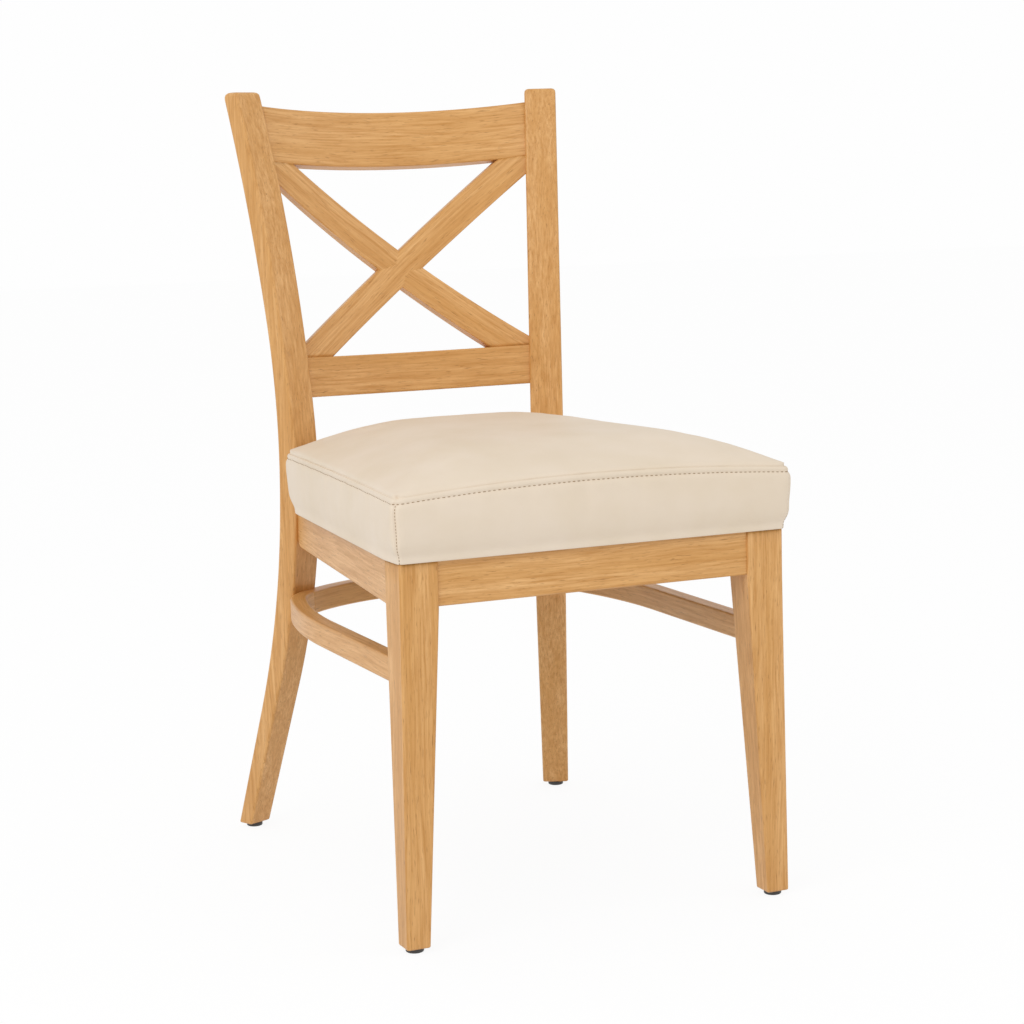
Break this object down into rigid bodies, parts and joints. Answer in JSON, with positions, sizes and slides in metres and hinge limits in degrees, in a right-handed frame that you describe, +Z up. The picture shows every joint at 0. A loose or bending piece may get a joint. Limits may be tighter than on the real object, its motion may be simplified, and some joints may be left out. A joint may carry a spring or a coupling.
{
  "type": "cross back chair",
  "caption": "Armless dining chair in honey coloured oak with a cross back, sabre back posts, a bent hoop stretcher and a beige leather box cushion.",
  "frame": {"origin": "On the floor, at the middle of the chair's overall length and width.", "axes": "+Z is up, -Y is the way that the sitter looks, and +X is at the sitter's left hand."},
  "size_m": [0.4546, 0.5943, 0.88],
  "materials": {
    "oak": "satin clear lacquer",
    "beige_leather": "smooth, low sheen",
    "birch_plywood": "unfinished",
    "foam": "open cell foam",
    "black_cloth": "matt non-woven",
    "zinc_steel": "zinc plated",
    "glide_plastic": "moulded nylon"
  },
  "bodies": {
    "root": {"top_rail": "oak", "lower_back_rail": "oak", "cross_slat_rising": "oak", "cross_slat_falling": "oak", "cross_slat_dowels": "oak", "stretcher_dowels": "oak", "corner_block_front_right": "oak", "corner_block_front_left": "oak", "corner_block_rear_right": "oak", "corner_block_rear_left": "oak", "front_leg_right": "oak", "front_leg_left": "oak", "back_post_right": "oak", "back_post_left": "oak", "side_apron_right": "oak", "side_apron_left": "oak", "front_apron": "oak", "rear_apron": "oak", "side_stretcher_right": "oak", "side_stretcher_left": "oak", "rear_stretcher": "oak", "seat_fixing_screws": "zinc_steel", "corner_block_screws": "zinc_steel", "foot_glide_pins": "zinc_steel", "cover_staples": "zinc_steel", "foot_glides": "glide_plastic", "seat_board": "birch_plywood", "seat_foam": "foam", "seat_dust_cloth": "black_cloth", "seat_cover": "beige_leather"}
  },
  "joints": []
}
